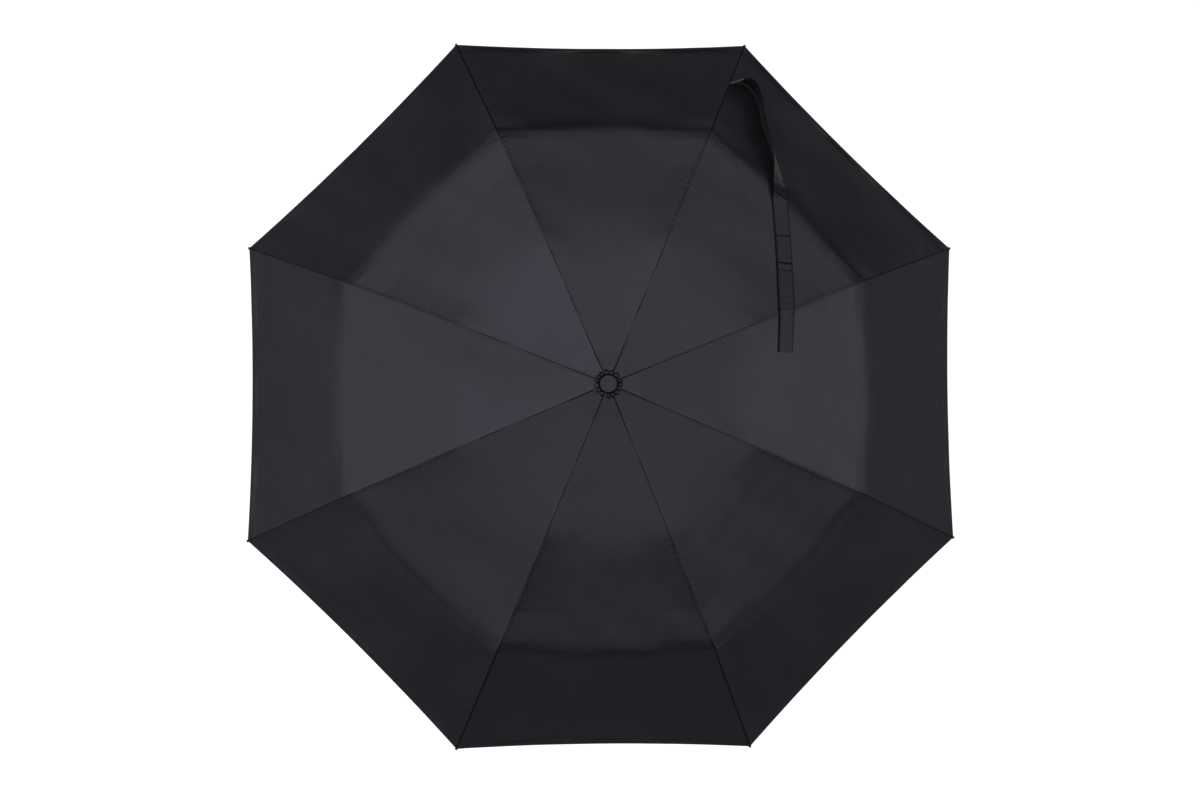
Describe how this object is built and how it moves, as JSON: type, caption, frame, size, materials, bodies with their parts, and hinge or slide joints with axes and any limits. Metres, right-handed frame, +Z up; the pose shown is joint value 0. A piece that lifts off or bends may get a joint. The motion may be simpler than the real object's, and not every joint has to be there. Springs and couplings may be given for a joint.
{
  "type": "folding umbrella",
  "caption": "Compact folding umbrella, open: black octagonal canopy on folding ribs, telescopic shaft, runner with button, cup handle and closure strap.",
  "frame": {"origin": "centre of the handle's flat end face", "axes": "+Z up the shaft from the handle to the crown; +X crosses the right-hand flat side of the open canopy"},
  "size_m": [0.8958, 0.8958, 0.5835],
  "materials": {
    "canopy_fabric": "black pongee polyester, faint sheen",
    "cap_plastic": "satin black moulded plastic",
    "frame_plastic": "black moulded plastic",
    "handle_plastic": "soft-touch black",
    "shaft_metal": "black painted steel tube",
    "rib_metal": "black painted steel channel",
    "wire_metal": "black painted steel wire and rod",
    "spring_steel": "bright spring wire"
  },
  "bodies": {
    "handle": {"handle_grip": "handle_plastic", "handle_end_cap": "handle_plastic", "lower_tube": "shaft_metal"},
    "middle_shaft": {"middle_tube": "shaft_metal"},
    "upper_shaft": {"upper_tube": "shaft_metal", "crown": "frame_plastic", "crown_cap": "cap_plastic", "canopy": "canopy_fabric", "closure_strap": "canopy_fabric"},
    "runner": {"runner": "frame_plastic", "button_spring": "spring_steel"},
    "runner_button": {"runner_button": "frame_plastic"},
    "top_rib_1": {"top_rib_1": "rib_metal"},
    "stretcher_1": {"stretcher_1": "rib_metal"},
    "link_bar_1": {"link_bar_1": "wire_metal"},
    "middle_rib_1": {"middle_rib_1": "rib_metal"},
    "link_wire_1": {"link_wire_1": "wire_metal"},
    "outer_rib_1": {"outer_rib_1": "wire_metal"},
    "top_rib_2": {"top_rib_2": "rib_metal"},
    "stretcher_2": {"stretcher_2": "rib_metal"},
    "link_bar_2": {"link_bar_2": "wire_metal"},
    "middle_rib_2": {"middle_rib_2": "rib_metal"},
    "link_wire_2": {"link_wire_2": "wire_metal"},
    "outer_rib_2": {"outer_rib_2": "wire_metal"},
    "top_rib_3": {"top_rib_3": "rib_metal"},
    "stretcher_3": {"stretcher_3": "rib_metal"},
    "link_bar_3": {"link_bar_3": "wire_metal"},
    "middle_rib_3": {"middle_rib_3": "rib_metal"},
    "link_wire_3": {"link_wire_3": "wire_metal"},
    "outer_rib_3": {"outer_rib_3": "wire_metal"},
    "top_rib_4": {"top_rib_4": "rib_metal"},
    "stretcher_4": {"stretcher_4": "rib_metal"},
    "link_bar_4": {"link_bar_4": "wire_metal"},
    "middle_rib_4": {"middle_rib_4": "rib_metal"},
    "link_wire_4": {"link_wire_4": "wire_metal"},
    "outer_rib_4": {"outer_rib_4": "wire_metal"},
    "top_rib_5": {"top_rib_5": "rib_metal"},
    "stretcher_5": {"stretcher_5": "rib_metal"},
    "link_bar_5": {"link_bar_5": "wire_metal"},
    "middle_rib_5": {"middle_rib_5": "rib_metal"},
    "link_wire_5": {"link_wire_5": "wire_metal"},
    "outer_rib_5": {"outer_rib_5": "wire_metal"},
    "top_rib_6": {"top_rib_6": "rib_metal"},
    "stretcher_6": {"stretcher_6": "rib_metal"},
    "link_bar_6": {"link_bar_6": "wire_metal"},
    "middle_rib_6": {"middle_rib_6": "rib_metal"},
    "link_wire_6": {"link_wire_6": "wire_metal"},
    "outer_rib_6": {"outer_rib_6": "wire_metal"},
    "top_rib_7": {"top_rib_7": "rib_metal"},
    "stretcher_7": {"stretcher_7": "rib_metal"},
    "link_bar_7": {"link_bar_7": "wire_metal"},
    "middle_rib_7": {"middle_rib_7": "rib_metal"},
    "link_wire_7": {"link_wire_7": "wire_metal"},
    "outer_rib_7": {"outer_rib_7": "wire_metal"},
    "top_rib_8": {"top_rib_8": "rib_metal"},
    "stretcher_8": {"stretcher_8": "rib_metal"},
    "link_bar_8": {"link_bar_8": "wire_metal"},
    "middle_rib_8": {"middle_rib_8": "rib_metal"},
    "link_wire_8": {"link_wire_8": "wire_metal"},
    "outer_rib_8": {"outer_rib_8": "wire_metal"}
  },
  "joints": [
    {"name": "shaft_lower_slide", "type": "slide", "parent": "handle", "child": "middle_shaft", "axis": [0, 0, -1], "range_m": [0, 0.15]},
    {"name": "shaft_upper_slide", "type": "slide", "parent": "middle_shaft", "child": "upper_shaft", "axis": [0, 0, -1], "range_m": [0, 0.15]},
    {"name": "runner_slide", "type": "slide", "parent": "upper_shaft", "child": "runner", "axis": [0, 0, -1], "range_m": [0, 0.11192], "deforming": ["canopy", "closure_strap"]},
    {"name": "runner_button_press", "type": "slide", "parent": "runner", "child": "runner_button", "axis": [-1, 0, 0], "range_m": [0, 0.0015], "stiffness_N_per_m": 600, "deforming": ["button_spring"]},
    {"name": "top_rib_hinge_1", "type": "hinge", "parent": "upper_shaft", "child": "top_rib_1", "pos_m": [0.01109, 0.00459, 0.5745], "axis": [-0.3827, 0.9239, 0], "range_deg": [0, 79.05]},
    {"name": "stretcher_hinge_1", "type": "hinge", "parent": "top_rib_1", "child": "stretcher_1", "pos_m": [0.08688, 0.03599, 0.55631], "axis": [-0.3827, 0.9239, 0], "range_deg": [-136.44, 0]},
    {"name": "link_bar_hinge_1", "type": "hinge", "parent": "stretcher_1", "child": "link_bar_1", "pos_m": [0.07754, 0.03212, 0.54985], "axis": [-0.3827, 0.9239, 0], "range_deg": [0, 136.81]},
    {"name": "middle_rib_hinge_1", "type": "hinge", "parent": "top_rib_1", "child": "middle_rib_1", "pos_m": [0.16365, 0.06779, 0.54357], "axis": [-0.3827, 0.9239, 0], "range_deg": [-189.05, 0]},
    {"name": "link_wire_hinge_1", "type": "hinge", "parent": "top_rib_1", "child": "link_wire_1", "pos_m": [0.1552, 0.06428, 0.54367], "axis": [-0.3827, 0.9239, 0], "range_deg": [-186.9, 0]},
    {"name": "outer_rib_hinge_1", "type": "hinge", "parent": "middle_rib_1", "child": "outer_rib_1", "pos_m": [0.30958, 0.12823, 0.4805], "axis": [-0.3827, 0.9239, 0], "range_deg": [0, 161.05]},
    {"name": "top_rib_hinge_2", "type": "hinge", "parent": "upper_shaft", "child": "top_rib_2", "pos_m": [0.00459, 0.01109, 0.5745], "axis": [-0.9239, 0.3827, 0], "range_deg": [0, 79.05]},
    {"name": "stretcher_hinge_2", "type": "hinge", "parent": "top_rib_2", "child": "stretcher_2", "pos_m": [0.03599, 0.08688, 0.55631], "axis": [-0.9239, 0.3827, 0], "range_deg": [-136.44, 0]},
    {"name": "link_bar_hinge_2", "type": "hinge", "parent": "stretcher_2", "child": "link_bar_2", "pos_m": [0.03212, 0.07754, 0.54985], "axis": [-0.9239, 0.3827, 0], "range_deg": [0, 136.81]},
    {"name": "middle_rib_hinge_2", "type": "hinge", "parent": "top_rib_2", "child": "middle_rib_2", "pos_m": [0.06779, 0.16365, 0.54357], "axis": [-0.9239, 0.3827, 0], "range_deg": [-189.05, 0]},
    {"name": "link_wire_hinge_2", "type": "hinge", "parent": "top_rib_2", "child": "link_wire_2", "pos_m": [0.06428, 0.1552, 0.54367], "axis": [-0.9239, 0.3827, 0], "range_deg": [-186.9, 0]},
    {"name": "outer_rib_hinge_2", "type": "hinge", "parent": "middle_rib_2", "child": "outer_rib_2", "pos_m": [0.12823, 0.30958, 0.4805], "axis": [-0.9239, 0.3827, 0], "range_deg": [0, 161.05]},
    {"name": "top_rib_hinge_3", "type": "hinge", "parent": "upper_shaft", "child": "top_rib_3", "pos_m": [-0.00459, 0.01109, 0.5745], "axis": [-0.9239, -0.3827, 0], "range_deg": [0, 79.05]},
    {"name": "stretcher_hinge_3", "type": "hinge", "parent": "top_rib_3", "child": "stretcher_3", "pos_m": [-0.03599, 0.08688, 0.55631], "axis": [-0.9239, -0.3827, 0], "range_deg": [-136.44, 0]},
    {"name": "link_bar_hinge_3", "type": "hinge", "parent": "stretcher_3", "child": "link_bar_3", "pos_m": [-0.03212, 0.07754, 0.54985], "axis": [-0.9239, -0.3827, 0], "range_deg": [0, 136.81]},
    {"name": "middle_rib_hinge_3", "type": "hinge", "parent": "top_rib_3", "child": "middle_rib_3", "pos_m": [-0.06779, 0.16365, 0.54357], "axis": [-0.9239, -0.3827, 0], "range_deg": [-189.05, 0]},
    {"name": "link_wire_hinge_3", "type": "hinge", "parent": "top_rib_3", "child": "link_wire_3", "pos_m": [-0.06428, 0.1552, 0.54367], "axis": [-0.9239, -0.3827, 0], "range_deg": [-186.9, 0]},
    {"name": "outer_rib_hinge_3", "type": "hinge", "parent": "middle_rib_3", "child": "outer_rib_3", "pos_m": [-0.12823, 0.30958, 0.4805], "axis": [-0.9239, -0.3827, 0], "range_deg": [0, 161.05]},
    {"name": "top_rib_hinge_4", "type": "hinge", "parent": "upper_shaft", "child": "top_rib_4", "pos_m": [-0.01109, 0.00459, 0.5745], "axis": [-0.3827, -0.9239, 0], "range_deg": [0, 79.05]},
    {"name": "stretcher_hinge_4", "type": "hinge", "parent": "top_rib_4", "child": "stretcher_4", "pos_m": [-0.08688, 0.03599, 0.55631], "axis": [-0.3827, -0.9239, 0], "range_deg": [-136.44, 0]},
    {"name": "link_bar_hinge_4", "type": "hinge", "parent": "stretcher_4", "child": "link_bar_4", "pos_m": [-0.07754, 0.03212, 0.54985], "axis": [-0.3827, -0.9239, 0], "range_deg": [0, 136.81]},
    {"name": "middle_rib_hinge_4", "type": "hinge", "parent": "top_rib_4", "child": "middle_rib_4", "pos_m": [-0.16365, 0.06779, 0.54357], "axis": [-0.3827, -0.9239, 0], "range_deg": [-189.05, 0]},
    {"name": "link_wire_hinge_4", "type": "hinge", "parent": "top_rib_4", "child": "link_wire_4", "pos_m": [-0.1552, 0.06428, 0.54367], "axis": [-0.3827, -0.9239, 0], "range_deg": [-186.9, 0]},
    {"name": "outer_rib_hinge_4", "type": "hinge", "parent": "middle_rib_4", "child": "outer_rib_4", "pos_m": [-0.30958, 0.12823, 0.4805], "axis": [-0.3827, -0.9239, 0], "range_deg": [0, 161.05]},
    {"name": "top_rib_hinge_5", "type": "hinge", "parent": "upper_shaft", "child": "top_rib_5", "pos_m": [-0.01109, -0.00459, 0.5745], "axis": [0.3827, -0.9239, 0], "range_deg": [0, 79.05]},
    {"name": "stretcher_hinge_5", "type": "hinge", "parent": "top_rib_5", "child": "stretcher_5", "pos_m": [-0.08688, -0.03599, 0.55631], "axis": [0.3827, -0.9239, 0], "range_deg": [-136.44, 0]},
    {"name": "link_bar_hinge_5", "type": "hinge", "parent": "stretcher_5", "child": "link_bar_5", "pos_m": [-0.07754, -0.03212, 0.54985], "axis": [0.3827, -0.9239, 0], "range_deg": [0, 136.81]},
    {"name": "middle_rib_hinge_5", "type": "hinge", "parent": "top_rib_5", "child": "middle_rib_5", "pos_m": [-0.16365, -0.06779, 0.54357], "axis": [0.3827, -0.9239, 0], "range_deg": [-189.05, 0]},
    {"name": "link_wire_hinge_5", "type": "hinge", "parent": "top_rib_5", "child": "link_wire_5", "pos_m": [-0.1552, -0.06428, 0.54367], "axis": [0.3827, -0.9239, 0], "range_deg": [-186.9, 0]},
    {"name": "outer_rib_hinge_5", "type": "hinge", "parent": "middle_rib_5", "child": "outer_rib_5", "pos_m": [-0.30958, -0.12823, 0.4805], "axis": [0.3827, -0.9239, 0], "range_deg": [0, 161.05]},
    {"name": "top_rib_hinge_6", "type": "hinge", "parent": "upper_shaft", "child": "top_rib_6", "pos_m": [-0.00459, -0.01109, 0.5745], "axis": [0.9239, -0.3827, 0], "range_deg": [0, 79.05]},
    {"name": "stretcher_hinge_6", "type": "hinge", "parent": "top_rib_6", "child": "stretcher_6", "pos_m": [-0.03599, -0.08688, 0.55631], "axis": [0.9239, -0.3827, 0], "range_deg": [-136.44, 0]},
    {"name": "link_bar_hinge_6", "type": "hinge", "parent": "stretcher_6", "child": "link_bar_6", "pos_m": [-0.03212, -0.07754, 0.54985], "axis": [0.9239, -0.3827, 0], "range_deg": [0, 136.81]},
    {"name": "middle_rib_hinge_6", "type": "hinge", "parent": "top_rib_6", "child": "middle_rib_6", "pos_m": [-0.06779, -0.16365, 0.54357], "axis": [0.9239, -0.3827, 0], "range_deg": [-189.05, 0]},
    {"name": "link_wire_hinge_6", "type": "hinge", "parent": "top_rib_6", "child": "link_wire_6", "pos_m": [-0.06428, -0.1552, 0.54367], "axis": [0.9239, -0.3827, 0], "range_deg": [-186.9, 0]},
    {"name": "outer_rib_hinge_6", "type": "hinge", "parent": "middle_rib_6", "child": "outer_rib_6", "pos_m": [-0.12823, -0.30958, 0.4805], "axis": [0.9239, -0.3827, 0], "range_deg": [0, 161.05]},
    {"name": "top_rib_hinge_7", "type": "hinge", "parent": "upper_shaft", "child": "top_rib_7", "pos_m": [0.00459, -0.01109, 0.5745], "axis": [0.9239, 0.3827, 0], "range_deg": [0, 79.05]},
    {"name": "stretcher_hinge_7", "type": "hinge", "parent": "top_rib_7", "child": "stretcher_7", "pos_m": [0.03599, -0.08688, 0.55631], "axis": [0.9239, 0.3827, 0], "range_deg": [-136.44, 0]},
    {"name": "link_bar_hinge_7", "type": "hinge", "parent": "stretcher_7", "child": "link_bar_7", "pos_m": [0.03212, -0.07754, 0.54985], "axis": [0.9239, 0.3827, 0], "range_deg": [0, 136.81]},
    {"name": "middle_rib_hinge_7", "type": "hinge", "parent": "top_rib_7", "child": "middle_rib_7", "pos_m": [0.06779, -0.16365, 0.54357], "axis": [0.9239, 0.3827, 0], "range_deg": [-189.05, 0]},
    {"name": "link_wire_hinge_7", "type": "hinge", "parent": "top_rib_7", "child": "link_wire_7", "pos_m": [0.06428, -0.1552, 0.54367], "axis": [0.9239, 0.3827, 0], "range_deg": [-186.9, 0]},
    {"name": "outer_rib_hinge_7", "type": "hinge", "parent": "middle_rib_7", "child": "outer_rib_7", "pos_m": [0.12823, -0.30958, 0.4805], "axis": [0.9239, 0.3827, 0], "range_deg": [0, 161.05]},
    {"name": "top_rib_hinge_8", "type": "hinge", "parent": "upper_shaft", "child": "top_rib_8", "pos_m": [0.01109, -0.00459, 0.5745], "axis": [0.3827, 0.9239, 0], "range_deg": [0, 79.05]},
    {"name": "stretcher_hinge_8", "type": "hinge", "parent": "top_rib_8", "child": "stretcher_8", "pos_m": [0.08688, -0.03599, 0.55631], "axis": [0.3827, 0.9239, 0], "range_deg": [-136.44, 0]},
    {"name": "link_bar_hinge_8", "type": "hinge", "parent": "stretcher_8", "child": "link_bar_8", "pos_m": [0.07754, -0.03212, 0.54985], "axis": [0.3827, 0.9239, 0], "range_deg": [0, 136.81]},
    {"name": "middle_rib_hinge_8", "type": "hinge", "parent": "top_rib_8", "child": "middle_rib_8", "pos_m": [0.16365, -0.06779, 0.54357], "axis": [0.3827, 0.9239, 0], "range_deg": [-189.05, 0]},
    {"name": "link_wire_hinge_8", "type": "hinge", "parent": "top_rib_8", "child": "link_wire_8", "pos_m": [0.1552, -0.06428, 0.54367], "axis": [0.3827, 0.9239, 0], "range_deg": [-186.9, 0]},
    {"name": "outer_rib_hinge_8", "type": "hinge", "parent": "middle_rib_8", "child": "outer_rib_8", "pos_m": [0.30958, -0.12823, 0.4805], "axis": [0.3827, 0.9239, 0], "range_deg": [0, 161.05]}
  ],
  "couplings": [
    {"joint": "top_rib_hinge_1", "follows": "runner_slide", "rad_per_m": 12.319},
    {"joint": "stretcher_hinge_1", "follows": "runner_slide", "rad_per_m": -21.269},
    {"joint": "link_bar_hinge_1", "follows": "runner_slide", "rad_per_m": 21.326},
    {"joint": "middle_rib_hinge_1", "follows": "runner_slide", "rad_per_m": -29.473},
    {"joint": "link_wire_hinge_1", "follows": "runner_slide", "rad_per_m": -29.138},
    {"joint": "outer_rib_hinge_1", "follows": "runner_slide", "rad_per_m": 25.107},
    {"joint": "top_rib_hinge_2", "follows": "runner_slide", "rad_per_m": 12.319},
    {"joint": "stretcher_hinge_2", "follows": "runner_slide", "rad_per_m": -21.269},
    {"joint": "link_bar_hinge_2", "follows": "runner_slide", "rad_per_m": 21.326},
    {"joint": "middle_rib_hinge_2", "follows": "runner_slide", "rad_per_m": -29.473},
    {"joint": "link_wire_hinge_2", "follows": "runner_slide", "rad_per_m": -29.138},
    {"joint": "outer_rib_hinge_2", "follows": "runner_slide", "rad_per_m": 25.107},
    {"joint": "top_rib_hinge_3", "follows": "runner_slide", "rad_per_m": 12.319},
    {"joint": "stretcher_hinge_3", "follows": "runner_slide", "rad_per_m": -21.269},
    {"joint": "link_bar_hinge_3", "follows": "runner_slide", "rad_per_m": 21.326},
    {"joint": "middle_rib_hinge_3", "follows": "runner_slide", "rad_per_m": -29.473},
    {"joint": "link_wire_hinge_3", "follows": "runner_slide", "rad_per_m": -29.138},
    {"joint": "outer_rib_hinge_3", "follows": "runner_slide", "rad_per_m": 25.107},
    {"joint": "top_rib_hinge_4", "follows": "runner_slide", "rad_per_m": 12.319},
    {"joint": "stretcher_hinge_4", "follows": "runner_slide", "rad_per_m": -21.269},
    {"joint": "link_bar_hinge_4", "follows": "runner_slide", "rad_per_m": 21.326},
    {"joint": "middle_rib_hinge_4", "follows": "runner_slide", "rad_per_m": -29.473},
    {"joint": "link_wire_hinge_4", "follows": "runner_slide", "rad_per_m": -29.138},
    {"joint": "outer_rib_hinge_4", "follows": "runner_slide", "rad_per_m": 25.107},
    {"joint": "top_rib_hinge_5", "follows": "runner_slide", "rad_per_m": 12.319},
    {"joint": "stretcher_hinge_5", "follows": "runner_slide", "rad_per_m": -21.269},
    {"joint": "link_bar_hinge_5", "follows": "runner_slide", "rad_per_m": 21.326},
    {"joint": "middle_rib_hinge_5", "follows": "runner_slide", "rad_per_m": -29.473},
    {"joint": "link_wire_hinge_5", "follows": "runner_slide", "rad_per_m": -29.138},
    {"joint": "outer_rib_hinge_5", "follows": "runner_slide", "rad_per_m": 25.107},
    {"joint": "top_rib_hinge_6", "follows": "runner_slide", "rad_per_m": 12.319},
    {"joint": "stretcher_hinge_6", "follows": "runner_slide", "rad_per_m": -21.269},
    {"joint": "link_bar_hinge_6", "follows": "runner_slide", "rad_per_m": 21.326},
    {"joint": "middle_rib_hinge_6", "follows": "runner_slide", "rad_per_m": -29.473},
    {"joint": "link_wire_hinge_6", "follows": "runner_slide", "rad_per_m": -29.138},
    {"joint": "outer_rib_hinge_6", "follows": "runner_slide", "rad_per_m": 25.107},
    {"joint": "top_rib_hinge_7", "follows": "runner_slide", "rad_per_m": 12.319},
    {"joint": "stretcher_hinge_7", "follows": "runner_slide", "rad_per_m": -21.269},
    {"joint": "link_bar_hinge_7", "follows": "runner_slide", "rad_per_m": 21.326},
    {"joint": "middle_rib_hinge_7", "follows": "runner_slide", "rad_per_m": -29.473},
    {"joint": "link_wire_hinge_7", "follows": "runner_slide", "rad_per_m": -29.138},
    {"joint": "outer_rib_hinge_7", "follows": "runner_slide", "rad_per_m": 25.107},
    {"joint": "top_rib_hinge_8", "follows": "runner_slide", "rad_per_m": 12.319},
    {"joint": "stretcher_hinge_8", "follows": "runner_slide", "rad_per_m": -21.269},
    {"joint": "link_bar_hinge_8", "follows": "runner_slide", "rad_per_m": 21.326},
    {"joint": "middle_rib_hinge_8", "follows": "runner_slide", "rad_per_m": -29.473},
    {"joint": "link_wire_hinge_8", "follows": "runner_slide", "rad_per_m": -29.138},
    {"joint": "outer_rib_hinge_8", "follows": "runner_slide", "rad_per_m": 25.107}
  ]
}
